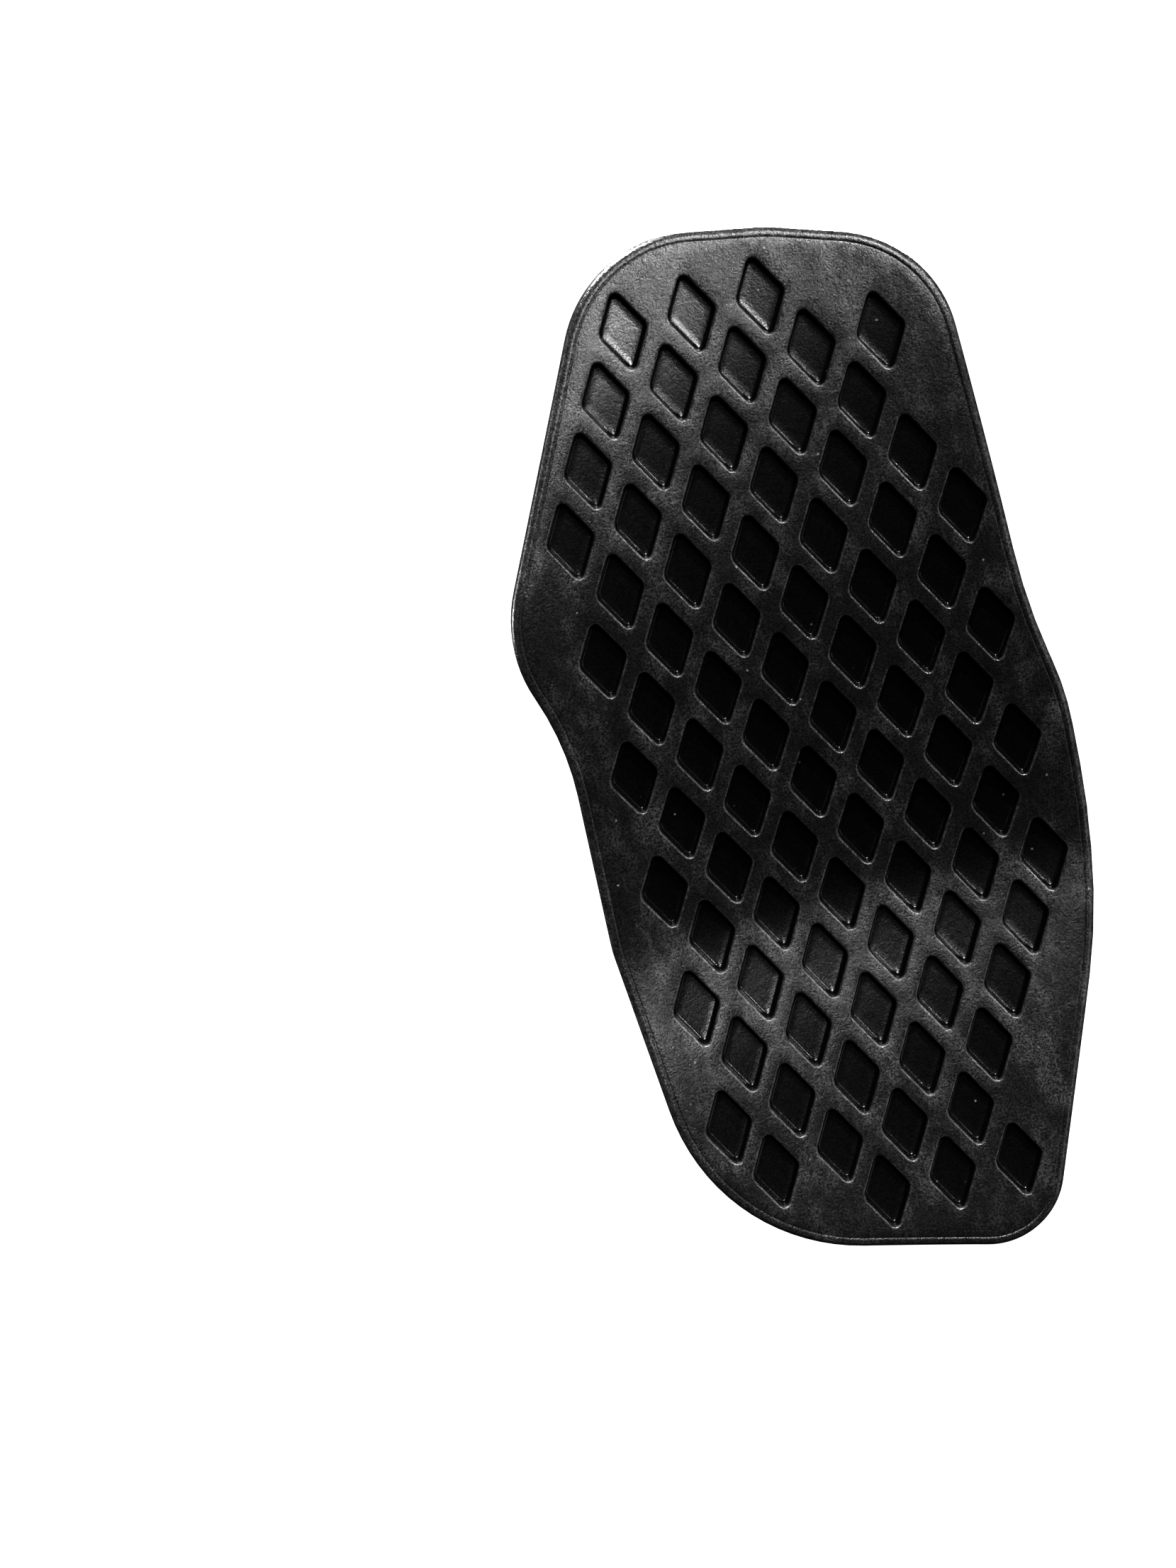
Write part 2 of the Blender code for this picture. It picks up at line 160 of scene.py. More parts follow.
def rounded_polygon(corners, step=math.radians(4), stride=0.002):
    """Polygon with rounded corners as (x, z, nx, nz): points with outward directions."""
    area = sum(
        a[0] * b[1] - b[0] * a[1] for a, b in zip(corners, corners[1:] + corners[:1])
    )
    turning = 1 if area > 0 else -1
    points = []
    count = len(corners)
    for index in range(count):
        before, here, after = (
            Vector(corners[i][:2]) for i in (index - 1, index, (index + 1) % count)
        )
        to_before = (before - here).normalized()
        to_after = (after - here).normalized()
        half = to_before.angle(to_after) / 2
        radius = corners[index][2]
        turn = math.pi - 2 * half
        bulges = (to_before.x * to_after.y - to_before.y * to_after.x) * turning < 0
        centre = here + (to_before + to_after).normalized() * (radius / math.sin(half))
        arm = here + to_before * (radius / math.tan(half)) - centre
        side = turning if bulges else -turning
        steps = max(1, round(turn / step))
        for k in range(steps + 1):
            angle = side * turn * k / steps
            spoke = Vector((
                arm.x * math.cos(angle) - arm.y * math.sin(angle),
                arm.x * math.sin(angle) + arm.y * math.cos(angle),
            ))
            out = spoke.normalized() * (1 if bulges else -1)
            points.append((centre.x + spoke.x, centre.y + spoke.y, out.x, out.y))
    dense = []
    for one, two in zip(points, points[1:] + points[:1]):
        pieces = max(1, math.ceil(math.hypot(two[0] - one[0], two[1] - one[1]) / stride))
        for k in range(pieces):
            share = k / pieces
            dense.append(tuple(a + (b - a) * share for a, b in zip(one, two)))
    return dense


PLATE_OUTLINE = rounded_polygon(PLATE_CORNERS)


def plate_outline(inset):
    """The plate's outline moved inwards by inset."""
    return [(x - nx * inset, z - nz * inset) for x, z, nx, nz in PLATE_OUTLINE]


def hull_outline(circles, inset=0.0, steps=96):
    """The band stretched round a set of the knob's circles, moved inwards by inset."""
    points = []
    for k in range(steps):
        angle = 2 * math.pi * (k + 0.5) / steps
        nx, nz = math.cos(angle), math.sin(angle)
        x, z, radius = max(circles, key=lambda c: c[0] * nx + c[1] * nz + c[2])
        reach = max(radius - inset, 0.0001)
        points.append((KNOB[0] + x + nx * reach, KNOB[1] + z + nz * reach))
    return points


def soft_diamond(x, z, width, height, corners, offset, steps=5, sides=3):
    """Rhombus with rounded corners, its outline moved outwards by offset."""
    points = []
    a, b = width / 2, height / 2
    tips = ((a, 0), (0, b), (-a, 0), (0, -b))
    for index, (tx, tz) in enumerate(tips):
        before = Vector(tips[index - 1])
        after = Vector(tips[(index + 1) % 4])
        here = Vector((tx, tz))
        to_before = (before - here).normalized()
        to_after = (after - here).normalized()
        half = to_before.angle(to_after) / 2
        turn = math.pi - 2 * half
        corner = corners[index]
        centre = here + (to_before + to_after).normalized() * (corner / math.sin(half))
        arm = (here + to_before * (corner / math.tan(half)) - centre).normalized()
        for k in range(steps + 1):
            angle = turn * k / steps
            spoke = Vector((
                arm.x * math.cos(angle) - arm.y * math.sin(angle),
                arm.x * math.sin(angle) + arm.y * math.cos(angle),
            ))
            spoke *= max(corner + offset, 0.00005)
            points.append((x + centre.x + spoke.x, z + centre.y + spoke.y))
    dense = []
    for index, (p, q) in enumerate(zip(points, points[1:] + points[:1])):
        long_side = (index + 1) % (steps + 1) == 0
        pieces = sides if long_side else 1
        for k in range(pieces):
            share = k / pieces
            dense.append((p[0] + (q[0] - p[0]) * share, p[1] + (q[1] - p[1]) * share))
    return dense


def inside(point, polygon):
    x, z = point
    hit = False
    for (x0, z0), (x1, z1) in zip(polygon, polygon[1:] + polygon[:1]):
        if (z0 > z) != (z1 > z) and x < x0 + (z - z0) / (z1 - z0) * (x1 - x0):
            hit = not hit
    return hit


# ---------------------------------------------------------------- mesh maker

CLEAN_AND_SHADED = -1.0              # wear value inside the pockets: no dust lies there, and the material paints them darker as painted shade


class Skin:
    """Collects rings, bands between rings and filled sheets, then makes one smooth mesh."""

    def __init__(self):
        self.verts = []
        self.faces = []
        self.wear = []

    def ring(self, outline, height, wear=0.0):
        """height is a number or a function of x and z. Returns the ring's vertex numbers."""
        first = len(self.verts)
        for x, z in outline:
            y = height(x, z) if callable(height) else height
            self.verts.append((x, y, z))
            self.wear.append(wear)
        return list(range(first, len(self.verts)))

    def band(self, one, two):
        count = len(one)
        for k in range(count):
            after = (k + 1) % count
            self.faces.append((one[k], one[after], two[after], two[k]))

    def bands(self, rings):
        for one, two in zip(rings, rings[1:]):
            self.band(one, two)

    def fan(self, ring, height, rounds=1, wear=0.0):
        """Closes a convex ring with smaller rings and a centre point."""
        outline = [(self.verts[i][0], self.verts[i][2]) for i in ring]
        cx = sum(p[0] for p in outline) / len(outline)
        cz = sum(p[1] for p in outline) / len(outline)
        last = ring
        for k in range(rounds):
            share = 1 - (k + 1) / (rounds + 1)
            smaller = [(cx + (x - cx) * share, cz + (z - cz) * share) for x, z in outline]
            new = self.ring(smaller, height, wear)
            self.band(last, new)
            last = new
        centre = self.ring([(cx, cz)], height, wear)[0]
        for k in range(len(last)):
            self.faces.append((last[k], last[(k + 1) % len(last)], centre))

    def sheet(self, outer, holes, height, spacing=None, clear=0.0008):
        """Fills between an outer ring and convex hole rings with triangles.

        With a spacing, a grid of points that keep clear of the rings comes in between.
        """
        numbers = list(outer)
        owner = [0] * len(outer)
        edges = []
        for index, hole in enumerate(holes, start=1):
            first = len(numbers)
            numbers += hole
            owner += [index] * len(hole)
            edges += [(first + k, first + (k + 1) % len(hole)) for k in range(len(hole))]
        flat = [Vector((self.verts[i][0], self.verts[i][2])) for i in numbers]
        border = [(p.x, p.y) for p in flat[:len(outer)]]
        if spacing:
            known = np.array([(p.x, p.y) for p in flat])
            hole_shapes = [
                np.array([(self.verts[i][0], self.verts[i][2]) for i in hole]) for hole in holes
            ]
            low, high = known.min(0), known.max(0)
            extra = []
            rows = int((high[1] - low[1]) / (spacing * 0.866)) + 1
            columns = int((high[0] - low[0]) / spacing) + 1
            for r in range(rows):
                for c in range(columns):
                    x = low[0] + spacing * (c + 0.5 * (r % 2))
                    z = low[1] + spacing * 0.866 * r
                    if np.hypot(known[:, 0] - x, known[:, 1] - z).min() < clear:
                        continue
                    if not inside((x, z), border):
                        continue
                    if any(
                        abs(shape[:, 0].mean() - x) < np.ptp(shape[:, 0])
                        and abs(shape[:, 1].mean() - z) < np.ptp(shape[:, 1])
                        and inside((x, z), [tuple(p) for p in shape])
                        for shape in hole_shapes
                    ):
                        continue
                    extra.append((x, z))
            numbers += self.ring(extra, height)
            owner += [-1] * len(extra)
            flat += [Vector(p) for p in extra]
        face = list(range(len(outer)))
        _, _, triangles, source, _, _ = delaunay_2d_cdt(flat, edges, [face], 1, 1e-9)
        for triangle in triangles:
            own = [source[k][0] if source[k] else None for k in triangle]
            if None in own:
                continue
            owners = {owner[k] for k in own}
            if len(owners) == 1 and min(owners) > 0:     # between points of one hole
                continue
            self.faces.append(tuple(numbers[k] for k in own))

    def make(self, name, material, replaces):
        """The finished piece, with how worn each point is in an attribute for the material; the
        attribute also marks the pockets, which the material paints darker as painted shade.
        """
        mesh = bpy.data.meshes.new(name)
        mesh.from_pydata(self.verts, [], self.faces)
        bm = bmesh.new()
        bm.from_mesh(mesh)
        # Rows of nearly collinear points can leave thread-thin gaps, which are closed here.
        gaps = [edge for edge in bm.edges if edge.is_boundary]
        bmesh.ops.holes_fill(bm, edges=gaps, sides=12)
        bmesh.ops.recalc_face_normals(bm, faces=bm.faces)
        open_edges = sum(1 for edge in bm.edges if not edge.is_manifold)
        bm.to_mesh(mesh)
        bm.free()
        worn = mesh.attributes.new("wear", "FLOAT", "POINT")
        worn.data.foreach_set("value", self.wear)
        mesh.shade_smooth()
        mesh.materials.append(material)
        obj = bpy.data.objects.new(name, mesh)
        bpy.context.scene.collection.objects.link(obj)
        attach(obj, "root")
        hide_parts(*replaces)
        print(name, len(mesh.vertices), "vertices, open edges", open_edges)


def on_plate(level):
    """Height function that follows the plate's contour at a level."""
    return lambda x, z: relief(x, z) + level


# ---------------------------------------------------------------- materials

class Nodes:
    """Short names for building one node tree."""

    def __init__(self, name):
        self.material = bpy.data.materials.new(name)
        self.material.use_nodes = True
        self.tree = self.material.node_tree
        self.shader = self.tree.nodes["Principled BSDF"]
        self.place = self.tree.nodes.new("ShaderNodeTexCoord").outputs["Object"]

    def add(self, kind, settings=None, **inputs):
        node = self.tree.nodes.new(kind)
        for key, value in (settings or {}).items():
            setattr(node, key, value)
        for key, value in inputs.items():
            socket = node.inputs[int(key[1:])] if key[1:].isdigit() else node.inputs[key]
            if isinstance(value, bpy.types.NodeSocket):
                self.tree.links.new(value, socket)
            else:
                socket.default_value = value
        return node

    def noise(self, scale, detail=2.0, rough=0.5, stretch=None):
        place = self.place
        if stretch:
            place = self.add("ShaderNodeMapping", None, Vector=place, Scale=stretch).outputs[0]
        return self.add(
            "ShaderNodeTexNoise", None, Vector=place, Scale=scale, Detail=detail, Roughness=rough
        ).outputs["Fac"]

    def spots(self, scale):
        node = self.add("ShaderNodeTexVoronoi", None, Vector=self.place, Scale=scale)
        return node.outputs["Distance"], node.outputs["Color"]

    def remap(self, value, low, high, to_low=0.0, to_high=1.0):
        node = self.add(
            "ShaderNodeMapRange", {"clamp": True}, Value=value, **{
                "From Min": low, "From Max": high, "To Min": to_low, "To Max": to_high,
            }
        )
        return node.outputs[0]

    def math(self, operation, one, two):
        return self.add("ShaderNodeMath", {"operation": operation}, _0=one, _1=two).outputs[0]

    def mix(self, share, one, two):
        node = self.add("ShaderNodeMix", {"data_type": "RGBA"})
        for index, value in ((0, share), (6, one), (7, two)):
            if isinstance(value, bpy.types.NodeSocket):
                self.tree.links.new(value, node.inputs[index])
            else:
                node.inputs[index].default_value = value
        return node.outputs[2]

    def bump(self, height, strength, distance, normal=None):
        node = self.add("ShaderNodeBump", None, Height=height, Strength=strength, Distance=distance)
        if normal:
            self.tree.links.new(normal, node.inputs["Normal"])
        return node.outputs[0]

    def finish(self, **sockets):
        for key, value in sockets.items():
            socket = self.shader.inputs[key.replace("_", " ")]
            if isinstance(value, bpy.types.NodeSocket):
                self.tree.links.new(value, socket)
            else:
                socket.default_value = value
        return self.material


def grey(value, warmth=0.0):
    return (value * (1 + warmth), value, value * (1 - warmth), 1.0)


def rubber(name, base, dust_and_sheen_grey, grain=1.0, roughness=0.26, painted_sheen=0.0):
    """Matt black moulded rubber: sandblasted grain, dusty patches, specks, worn edges, painted shade
    in the pockets and an optional painted sheen towards the knob end.
    """
    n = Nodes(name)
    fine = n.noise(3200, 3.0, 0.65)
    coarse = n.noise(900, 3.0, 0.6)
    clouds = n.noise(60, 5.0, 0.62)
    smears = n.noise(210, 4.0, 0.62, stretch=(1.0, 1.0, 0.55))
    distance, colour = n.spots(430)
    chance = n.add("ShaderNodeSeparateColor", None, _0=colour).outputs[0]
    speck = n.math("MULTIPLY", n.remap(distance, 0.11, 0.04), n.remap(chance, 0.86, 0.90))
    state = n.add("ShaderNodeAttribute", {"attribute_name": "wear"}).outputs["Fac"]
    worn = n.remap(state, 0.0, 1.0)
    open_skin = n.remap(state, -1.0, -0.2)

    # Random dust clouds and smears, and in the same mask a painted sheen that is lightest at the knob
    # end on the +X side.
    dust_and_sheen = n.math("MULTIPLY", n.remap(clouds, 0.38, 0.70), n.remap(smears, 0.38, 0.66))
    dust_and_sheen = n.math("ADD", dust_and_sheen, n.math("MULTIPLY", n.remap(smears, 0.50, 0.62), 0.35))
    # Painted sheen: the colour lightens towards the knob end and the +X side.
    if painted_sheen:
        place = n.add("ShaderNodeSeparateXYZ", None, _0=n.place)
        end = n.remap(place.outputs[2], 0.040, 0.085, 0.0, painted_sheen)
        side = n.remap(place.outputs[0], -0.034, 0.022)
        dust_and_sheen = n.math("ADD", dust_and_sheen, n.math("MULTIPLY", end, side))
    dust_and_sheen = n.math("MULTIPLY", dust_and_sheen, n.math("MULTIPLY", open_skin, n.remap(fine, 0.30, 0.62)))
    # Painted shade: pocket walls and floors get a quarter of the base colour.
    colour = n.mix(open_skin, grey(base * 0.25, -0.02), grey(base, -0.02))
    colour = n.mix(dust_and_sheen, colour, grey(dust_and_sheen_grey, 0.01))
    edge = n.math("MULTIPLY", worn, n.remap(coarse, 0.35, 0.62, 0.2, 0.9))
    colour = n.mix(edge, colour, grey(dust_and_sheen_grey * 1.3, 0.01))
    colour = n.mix(n.remap(fine, 0.40, 0.58), n.mix(0.55, colour, grey(0.0)), colour)
    colour = n.mix(n.math("MULTIPLY", speck, 0.7), colour, grey(0.26))

    rough = n.remap(fine, 0.3, 0.7, roughness - 0.03, roughness + 0.05)
    rough = n.math("ADD", rough, n.math("MULTIPLY", dust_and_sheen, 0.04))
    rough = n.math("SUBTRACT", rough, n.math("MULTIPLY", worn, 0.04))
    sand = n.remap(state, -1.0, -0.2, 0.30 * grain, 0.75 * grain)
    normal = n.bump(fine, sand, 0.00010)
    normal = n.bump(coarse, n.math("MULTIPLY", sand, 0.4), 0.00016, normal)
    return n.finish(
        Base_Color=colour, Roughness=rough, Normal=normal,
        Specular_IOR_Level=0.5, Metallic=0.0,
    )


def plastic(name, base):
    n = Nodes(name)
    fine = n.noise(900, 3.0, 0.6)
    colour = n.mix(fine, grey(base), grey(base * 1.5))
    return n.finish(
        Base_Color=colour, Roughness=n.remap(fine, 0.3, 0.7, 0.40, 0.55),
        Normal=n.bump(fine, 0.3, 0.0001),
    )


def steel(name):
    n = Nodes(name)
    rings = n.noise(1500, 2.0, 0.5, stretch=(1.0, 0.1, 1.0))
    colour = n.mix(rings, grey(0.38, 0.02), grey(0.55, 0.02))
    return n.finish(
        Base_Color=colour, Metallic=1.0, Roughness=n.remap(rings, 0.3, 0.7, 0.26, 0.42),
        Normal=n.bump(rings, 0.2, 0.00005),
    )


# The pad alone gets the painted sheen at its knob end.
pad_rubber = rubber("pad_rubber_grain", 0.018, 0.085, painted_sheen=0.8)
shell_rubber = rubber("shell_rubber_grain", 0.008, 0.026, grain=0.7, roughness=0.38)
head_rubber = rubber("head_rubber_grain", 0.012, 0.034, grain=1.3, roughness=0.40)
badge_rubber = rubber("badge_rubber_grain", 0.014, 0.038, grain=1.4, roughness=0.42)
core_plastic = plastic("core_plastic_grain", 0.05)
screw_steel = steel("screw_steel_turned")

# ---------------------------------------------------------------- pad

EDGE_IN = 0.0011          # rounded edge of a face: how far it runs inwards
EDGE_DOWN = 0.0015        # and how far along Y
EDGE_STEPS = 8
SEAM_IN = 0.00035         # depth of the parting line, from the plate's outline
LIP = 0.00040             # rounding of a pocket's mouth
LIP_STEPS = 5

# Shallow groove inside the pad's rim: inset from the outline, level over the face.
RIM_GROOVE = (
    (0.00175, 0.0), (0.00168, -0.00002), (0.00162, -0.00007), (0.00155, -0.00009),
    (0.00146, -0.00006), (0.00134, -0.00002), (0.00122, 0.0),
)
# Wall and floor of a pocket under its lip: offset from the mouth, level over the face.
POCKET_WALL = (
    (-0.00005, -LIP - 0.00015),
    (-0.00030, -POCKET_DEPTH + 0.00026),
    (-0.00036, -POCKET_DEPTH + 0.00012),
    (-0.00046, -POCKET_DEPTH + 0.00003),
    (-0.00060, -POCKET_DEPTH),
)


def edge_rings(skin, start, end, run_in, wear):
    """A quarter ellipse from a face at level start to the widest outline at level end."""
    rings = []
    for k in range(EDGE_STEPS + 1):
        angle = math.pi / 2 * k / EDGE_STEPS
        outline = plate_outline(run_in * (1 - math.sin(angle)))
        level = start + (end - start) * (1 - math.cos(angle))
        rings.append(skin.ring(outline, on_plate(level), wear * math.sin(2 * angle)))
    return rings


def pocket_centres():
    for row, (first, count) in enumerate(POCKET_ROWS):
        for number in range(count):
            x = FIRST_COLUMN_X - COLUMN_STEP * (first + 2 * number) - ROW_SHIFT * row
            yield x, FIRST_ROW_Z - ROW_PITCH * row - ROW_SAG * row * (x - SAG_X) ** 2


def add_pocket(pad, x, z):
    """One blind pocket with a rounded mouth. Returns the ring round the mouth."""
    profile = []
    for k in range(LIP_STEPS + 1):
        angle = math.pi / 2 * k / LIP_STEPS
        offset = LIP * (1 - math.sin(angle))
        level = -LIP * (1 - math.cos(angle))
        profile.append((offset, level, 0.9 * math.sin(2 * angle)))
    # Walls and floor carry the pocket value, so the material paints them darker as painted shade.
    profile += [(offset, level, CLEAN_AND_SHADED) for offset, level in POCKET_WALL]
    rings = []
    for offset, level, wear in profile:
        outline = soft_diamond(x, z, POCKET_WIDTH, POCKET_HEIGHT, POCKET_CORNERS, offset)
        rings.append(pad.ring(outline, on_plate(level), wear))
    pad.bands(rings)
    pad.fan(rings[-1], on_plate(-POCKET_DEPTH), rounds=2, wear=CLEAN_AND_SHADED)
    return rings[0]


def make_pad():
    pad = Skin()
    rim = [pad.ring(plate_outline(inset), on_plate(level)) for inset, level in RIM_GROOVE]
    rim += edge_rings(pad, 0.0, -EDGE_DOWN, EDGE_IN, 0.8)
    for inset, level, wear in (
        (0.0, PARTING + 0.0003, 0.3), (0.00010, PARTING + 0.0001, 0.0), (SEAM_IN, PARTING, 0.0),
    ):
        rim.append(pad.ring(plate_outline(inset), on_plate(level), wear))
    pad.bands(rim)
    pad.sheet(rim[-1], [], on_plate(PARTING), spacing=0.006, clear=0.003)
    mouths = [add_pocket(pad, x, z) for x, z in pocket_centres()]
    pad.sheet(rim[0], mouths, on_plate(0.0), spacing=0.0022)
    pad.make("pad_skin", pad_rubber, ("body_pad",))


# ---------------------------------------------------------------- shell

def make_shell():
    shell = Skin()
    rim = edge_rings(shell, PLATE_BACK, PLATE_BACK + EDGE_DOWN, EDGE_IN + 0.0003, 0.5)
    for inset, level, wear in (
        (0.0, PARTING - 0.0004, 0.3), (0.00010, PARTING - 0.0002, 0.0),
        (SEAM_IN, PARTING - 0.0001, 0.0), (CORE_INSET, PARTING - 0.0001, 0.0),
        (CORE_INSET + 0.00001, RECESS_FLOOR, 0.0),
    ):
        rim.append(shell.ring(plate_outline(inset), on_plate(level), wear))
    shell.bands(rim)
    post_outline = hull_outline(POST_CIRCLES, steps=48)
    post_back = shell.ring(post_outline, on_plate(PLATE_BACK))
    post_front = shell.ring(post_outline, on_plate(RECESS_FLOOR))
    shell.band(post_back, post_front)
    shell.sheet(rim[0], [post_back], on_plate(PLATE_BACK), spacing=0.0025)
    shell.sheet(rim[-1], [post_front], on_plate(RECESS_FLOOR), spacing=0.006, clear=0.003)
    shell.make("shell_skin", shell_rubber, ("outer_shell",))


# ---------------------------------------------------------------- neck

NECK_STEPS = 14
FOOT_SHARE = 0.62         # share of the neck's height that the foot's flare takes
TOP_FLARE = 0.10          # flare right under the head, as a share of NECK_FLARE
NECK_SHIFT = 0.00006      # the foot sinks this far into the shell and the top clears the head


def neck_flare(share):
    """A quarter ellipse at the foot, so that it runs out flat on the shell, and a rise at the top."""
    if share < FOOT_SHARE:
        return 1 - math.sqrt(max(0.0, 1 - (1 - share / FOOT_SHARE) ** 2))
    return TOP_FLARE * ((share - FOOT_SHARE) / (1 - FOOT_SHARE)) ** 2


def make_neck():
    neck = Skin()
    rings = []
    for k in range(NECK_STEPS + 1):
        share = k / NECK_STEPS
        ring = neck.ring(hull_outline(NECK_CIRCLES, -NECK_FLARE * neck_flare(share)), 0.0)
        for i in ring:
            x, _, z = neck.verts[i]
            follow = (relief(x, z) + PLATE_BACK - KNOB_BASE) * (1 - share)
            neck.verts[i] = (x, KNOB_BASE + NECK_SHIFT - KNOB_STANDOFF * share + follow, z)
        rings.append(ring)
    bore = hull_outline(POST_CIRCLES)
    rings.append(neck.ring(bore, HEAD_UNDER + NECK_SHIFT))
    rings.append(neck.ring(bore, on_plate(PLATE_BACK + 0.0001)))
    neck.bands(rings)
    neck.band(rings[-1], rings[0])
    neck.make("neck_skin", shell_rubber, ("neck_sleeve",))


# ---------------------------------------------------------------- head

FACE_EDGE_IN, FACE_EDGE_DOWN = 0.0030, 0.0050     # rounded edge of the face
BACK_EDGE_IN, BACK_EDGE_START = 0.0046, 0.0060    # rounded edge at the back, from this depth
GROOVE = 0.0024           # width of the groove round the badge
WELL_ROOM = 0.0003        # clearance between the badge and its well

# Moulding line round the head's side: depth under the face, inset, wear.
HEAD_SEAM = (
    (0.00535, 0.0, 0.1), (0.00545, -0.00010, 0.8), (0.00560, -0.00014, 1.0),
    (0.00575, -0.00010, 0.8), (0.00585, 0.0, 0.1),
)
# Outer wall and floor of the groove: offset from the groove's edge, depth, wear.
GROOVE_WALL = (
    (0.00032, 0.0, 0.3), (0.00017, 0.00005, 0.9), (0.00006, 0.00018, 0.9), (0.0, 0.00040, 0.2),
    (-0.00012, 0.00095, 0.0), (-0.00022, 0.00122, 0.0), (-0.00050, 0.0013, 0.0),
)


def head_side():
    """Depth under the face, inset and wear, from the face's edge to the underside's."""
    for k in range(13):
        angle = math.pi / 2 * k / 12
        inset = FACE_EDGE_IN * (1 - math.sin(angle) ** 0.92)
        yield FACE_EDGE_DOWN * (1 - math.cos(angle)), inset, 0.35 * math.sin(2 * angle)
    yield from HEAD_SEAM
    for k in range(1, 10):
        angle = math.pi / 2 * k / 9
        rest = HEAD_UNDER - HEAD_FACE - BACK_EDGE_START
        yield BACK_EDGE_START + rest * math.sin(angle), BACK_EDGE_IN * (1 - math.cos(angle)), 0.0


def make_head():
    head = Skin()
    side = [
        head.ring(hull_outline(HEAD_CIRCLES, inset), HEAD_FACE + depth, wear)
        for depth, inset, wear in head_side()
    ]
    head.bands(side)
    well = [
        head.ring(hull_outline(BADGE_CIRCLES, -GROOVE - offset), HEAD_FACE + depth, wear)
        for offset, depth, wear in GROOVE_WALL
    ]
    well.append(head.ring(hull_outline(BADGE_CIRCLES, -WELL_ROOM), HEAD_FACE + GROOVE_WALL[-1][1]))
    well.append(head.ring(hull_outline(BADGE_CIRCLES, -WELL_ROOM), WELL_FLOOR))
    head.bands(well)
    head.sheet(side[0], [well[0]], HEAD_FACE, spacing=0.004, clear=0.002)
    bore_under = head.ring(hull_outline(POST_CIRCLES), HEAD_UNDER)
    bore_well = head.ring(hull_outline(POST_CIRCLES), WELL_FLOOR)
    head.band(bore_under, bore_well)
    head.sheet(side[-1], [bore_under], HEAD_UNDER)
    head.sheet(well[-1], [bore_well], WELL_FLOOR)
    head.make("head_skin", head_rubber, ("head_body",))


# ---------------------------------------------------------------- badge

BADGE_ROUND = 0.00055     # rounding of the badge's front edge
BADGE_CHAMFER = 0.0002    # and the chamfer of its back edge
MARK_COUNT = 5
MARK_PITCH = 0.0058
MARK_WIDTH, MARK_HEIGHT, MARK_CORNER = 0.0030, 0.0052, 0.0004

# One engraved rhombus, from the face down: offset from its outline, depth, wear.
MARK_WALL = (
    (0.00042, 0.0, 0.6), (0.00016, 0.0, 0.6), (0.00006, 0.00004, 0.6), (0.0, 0.00014, 0.6),
    (-0.00006, 0.00050, 0.0), (-0.00014, 0.00060, 0.0),
)


def add_mark(plate, z):
    """One engraved rhombus. Returns the flat ring round it."""
    cut = []
    for offset, depth, wear in MARK_WALL:
        outline = soft_diamond(
            KNOB[0], z, MARK_WIDTH, MARK_HEIGHT, (MARK_CORNER,) * 4, offset, steps=3, sides=2
        )
        cut.append(plate.ring(outline, BADGE_FACE + depth, wear))
    plate.bands(cut)
    plate.fan(cut[-1], BADGE_FACE + MARK_WALL[-1][1], rounds=0)
    return cut[0]


def make_badge():
    plate = Skin()
    rings = [plate.ring(hull_outline(BADGE_CIRCLES, BADGE_CHAMFER), BADGE_BACK)]
    rings.append(plate.ring(hull_outline(BADGE_CIRCLES), BADGE_BACK - BADGE_CHAMFER))
    for k in range(7):
        angle = math.pi / 2 * k / 6
        outline = hull_outline(BADGE_CIRCLES, BADGE_ROUND * (1 - math.cos(angle)))
        level = BADGE_FACE + BADGE_ROUND * (1 - math.sin(angle))
        rings.append(plate.ring(outline, level, 0.8 * math.sin(2 * angle)))
    plate.bands(rings)
    plate.fan(rings[0], BADGE_BACK, rounds=0)
    middle = (MARK_COUNT - 1) / 2
    marks = [add_mark(plate, KNOB[1] + MARK_PITCH * (number - middle)) for number in range(MARK_COUNT)]
    plate.sheet(rings[-1], marks, BADGE_FACE, spacing=0.003, clear=0.0012)
    plate.make("badge_skin", badge_rubber, ("badge",))


make_pad()
make_shell()
make_neck()
make_head()
make_badge()

# The inside pieces stay as the CAD has them and only get materials.
for node, material in (
    ("core_plate", core_plastic), ("post_core", core_plastic), ("head_insert", core_plastic),
    ("head_screw_1", screw_steel), ("head_screw_2", screw_steel),
):
    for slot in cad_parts[node].material_slots:
        slot.material = material

# ---------------------------------------------------------------- floor and background

FLOOR_SIZE = 60.0         # wide enough to reach the horizon
FLOOR_GAP = 0.0002
WORLD_LIGHT = 0.03        # what the background gives the guard
WORLD_SEEN = 1.20         # how bright the camera sees it: plain white

scene = bpy.context.scene
scene.view_settings.view_transform = "Standard"
scene.view_settings.gamma = 0.58


def make_floor():
    """A plain white floor that is seen but throws no light back on the guard."""
    place = (0.0, 0.0, CAD_BOX[0][2] - FLOOR_GAP)
    bpy.ops.mesh.primitive_plane_add(size=FLOOR_SIZE, location=place)
    floor = bpy.context.object
    floor.name = "floor"
    floor.visible_diffuse = False
    floor.visible_glossy = False
    paper = bpy.data.materials.new("floor_paper")
    paper.use_nodes = True
    shader = paper.node_tree.nodes["Principled BSDF"]
    shader.inputs["Base Color"].default_value = grey(0.07)
    shader.inputs["Roughness"].default_value = 1.0
    shader.inputs["Specular IOR Level"].default_value = 0.0
    shader.inputs["Emission Color"].default_value = grey(0.97)
    shader.inputs["Emission Strength"].default_value = 1.0
    floor.data.materials.append(paper)


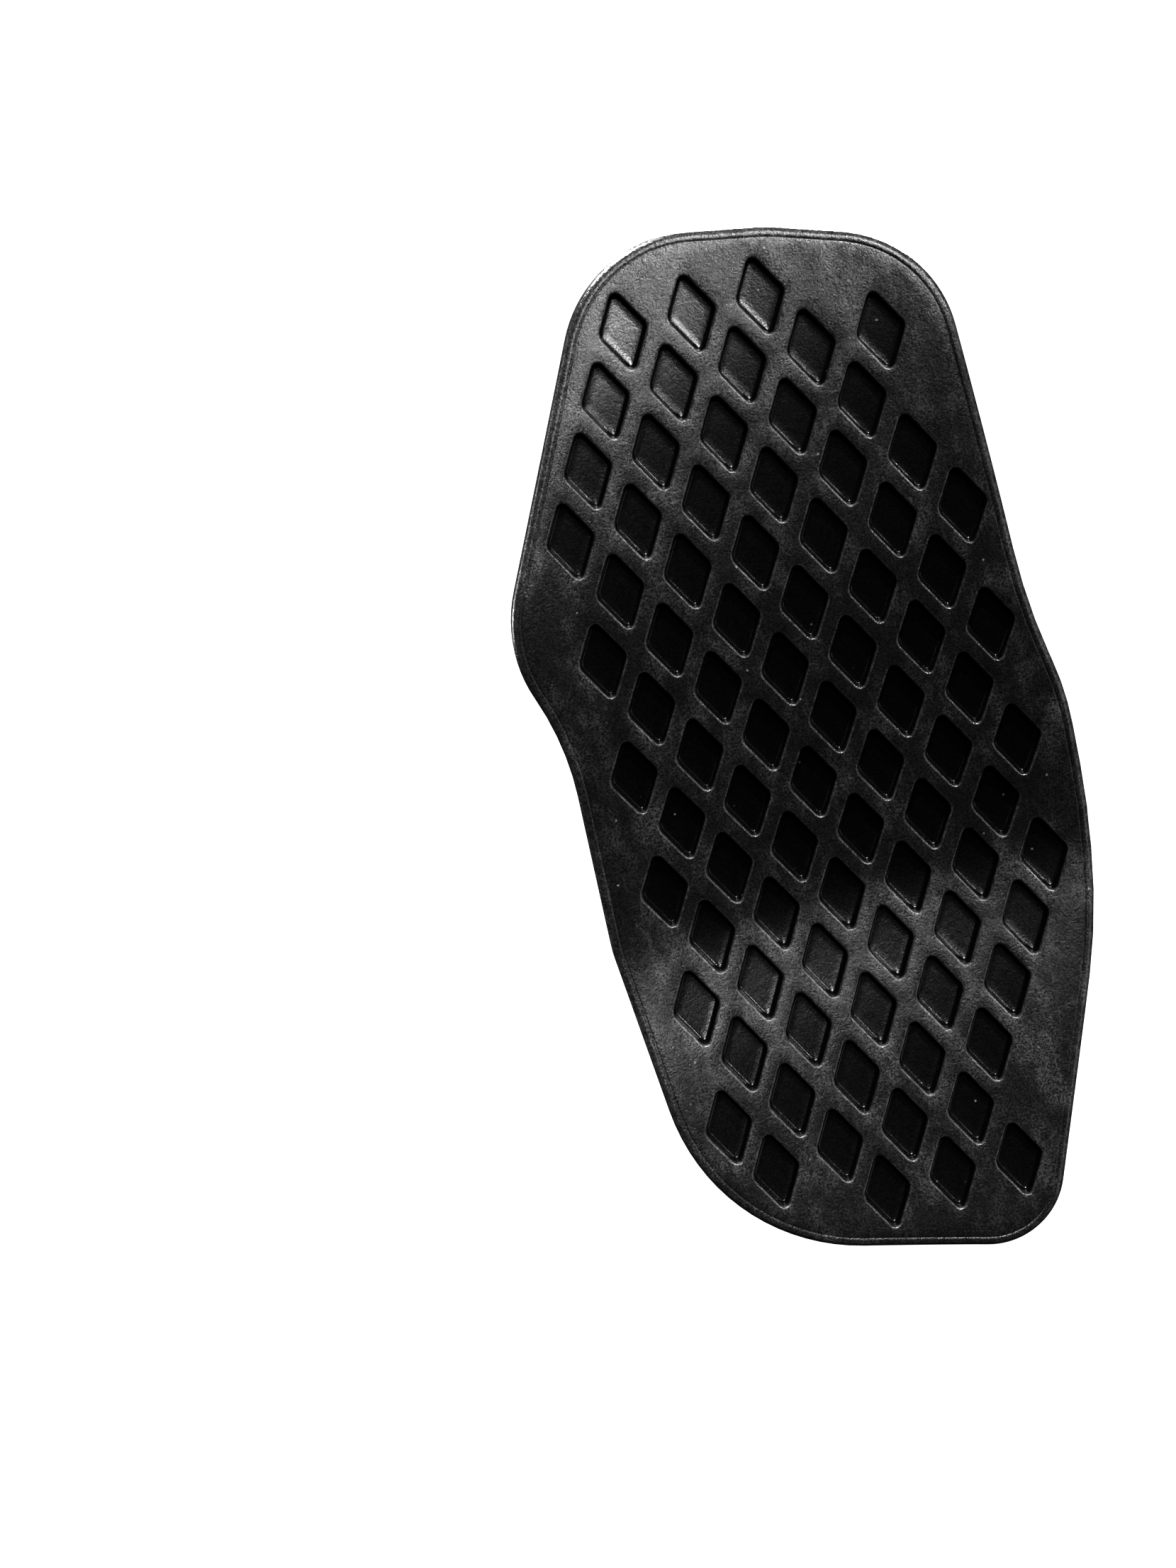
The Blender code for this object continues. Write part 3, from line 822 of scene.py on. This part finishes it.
def make_world():
    world = bpy.data.worlds.new("studio")
    world.use_nodes = True
    tree = world.node_tree
    background = tree.nodes["Background"]
    background.inputs["Color"].default_value = grey(1.0)
    path = tree.nodes.new("ShaderNodeLightPath")
    level = tree.nodes.new("ShaderNodeMapRange")
    level.inputs["To Min"].default_value = WORLD_LIGHT
    level.inputs["To Max"].default_value = WORLD_SEEN
    tree.links.new(path.outputs["Is Camera Ray"], level.inputs["Value"])
    tree.links.new(level.outputs[0], background.inputs["Strength"])
    scene.world = world


# ---------------------------------------------------------------- camera

CAMERA_TILT = math.radians(9.15)
CAMERA_ROLL = math.radians(14.71)
CAMERA_DISTANCE = 0.580
AIM_RIGHT, AIM_UP = 0.033, 0.007      # the guard stands right of and above the picture's middle

ct, st = math.cos(CAMERA_TILT), math.sin(CAMERA_TILT)
cr, sr = math.cos(CAMERA_ROLL), math.sin(CAMERA_ROLL)
right = Vector((-cr, st * sr, -ct * sr))
up = Vector((-sr, -st * cr, ct * cr))
back = Vector((0.0, ct, st))


def make_camera():
    data = bpy.data.cameras.new("camera")
    data.lens = 85.0
    data.sensor_width = 36.0
    data.clip_start = 0.01
    camera = bpy.data.objects.new("camera", data)
    aim = Vector((SPINE_X, relief(SPINE_X, SPINE_Z), SPINE_Z))
    spot = aim - right * AIM_RIGHT - up * AIM_UP + back * CAMERA_DISTANCE
    turn = Matrix((right, up, back)).transposed().to_4x4()
    camera.matrix_world = Matrix.Translation(spot) @ turn
    scene.collection.objects.link(camera)
    scene.camera = camera


# ---------------------------------------------------------------- light

# Name, height over the picture plane, angle from the picture's top, strength, spread.
BODY_SIDE_SUNS = (
    ("key", 46.0, 2.0, 5.9, 4.0),
    ("softbox", 71.0, 3.0, 3.3, 8.0),
    ("edge_light", 30.0, 48.0, 3.6, 4.0),
    ("fill_right", 30.0, 105.0, 0.8, 24.0),
)
# Name, direction to the light, strength, spread. The plate keeps these off the body side.
KNOB_SIDE_SUNS = (
    ("knob_key", (0.25, -0.66, 0.71), 7.0, 8.0),
    ("knob_softbox", (-0.20, -0.95, 0.24), 4.0, 16.0),
    ("knob_side", (0.85, -0.50, 0.15), 2.5, 16.0),
)


def add_sun(name, towards, strength, spread):
    """A distant soft light; towards points from the guard to the light."""
    data = bpy.data.lights.new(name, "SUN")
    data.energy = strength
    data.angle = math.radians(spread)
    obj = bpy.data.objects.new(name, data)
    obj.rotation_euler = Vector(towards).to_track_quat("Z", "Y").to_euler()
    scene.collection.objects.link(obj)


def from_picture(height, aside):
    """A direction by its height over the picture plane and its angle from the top."""
    flat = right * math.sin(math.radians(aside)) + up * math.cos(math.radians(aside))
    return flat * math.cos(math.radians(height)) + back * math.sin(math.radians(height))


make_floor()
make_world()
make_camera()
for name, height, aside, strength, spread in BODY_SIDE_SUNS:
    add_sun(name, from_picture(height, aside), strength, spread)
for name, towards, strength, spread in KNOB_SIDE_SUNS:
    add_sun(name, towards, strength, spread)

bpy.context.view_layer.update()
